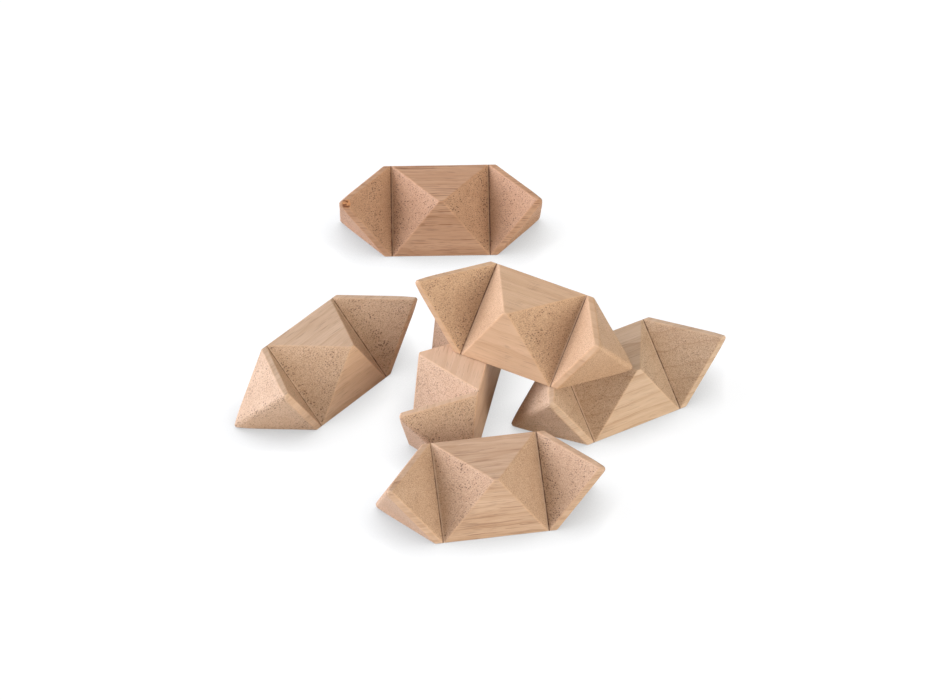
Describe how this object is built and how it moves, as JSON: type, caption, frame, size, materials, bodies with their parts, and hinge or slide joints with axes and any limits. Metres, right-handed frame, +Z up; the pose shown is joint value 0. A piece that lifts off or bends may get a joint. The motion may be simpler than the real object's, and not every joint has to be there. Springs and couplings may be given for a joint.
{
  "type": "star burr puzzle",
  "caption": "Wooden star burr puzzle taken apart: alike square sticks with pointed ends and V notches across one edge, which lock together into a star without fasteners.",
  "frame": {"origin": "middle of the laid-out set's box in plan, on the table that it lies on", "axes": "+X to the right, +Y away from the viewer, +Z up from the table"},
  "size_m": [0.1568, 0.1798, 0.0441],
  "materials": {
    "beech_back": "plain sanded beech, unvarnished",
    "beech_left": "plain sanded beech, unvarnished",
    "beech_top": "plain sanded beech, unvarnished",
    "beech_right": "plain sanded beech, unvarnished",
    "beech_under": "plain sanded beech, unvarnished",
    "beech_front": "plain sanded beech, unvarnished"
  },
  "bodies": {
    "under": {"under_stick": "beech_under"},
    "back": {"back_stick": "beech_back"},
    "left": {"left_stick": "beech_left"},
    "top": {"top_stick": "beech_top"},
    "right": {"right_stick": "beech_right"},
    "front": {"front_stick": "beech_front"}
  },
  "joints": [
    {"name": "back_slide", "type": "slide", "parent": "under", "child": "back", "axis": [0, 1, 0], "range_m": [0, 0.05]},
    {"name": "left_slide", "type": "slide", "parent": "under", "child": "left", "axis": [-1, 0, 0], "range_m": [0, 0.05]},
    {"name": "top_lift", "type": "slide", "parent": "under", "child": "top", "axis": [0, 0, 1], "range_m": [0, 0.06]},
    {"name": "right_slide", "type": "slide", "parent": "under", "child": "right", "axis": [1, 0, 0], "range_m": [0, 0.05]},
    {"name": "front_slide", "type": "slide", "parent": "under", "child": "front", "axis": [0, -1, 0], "range_m": [0, 0.05]}
  ]
}
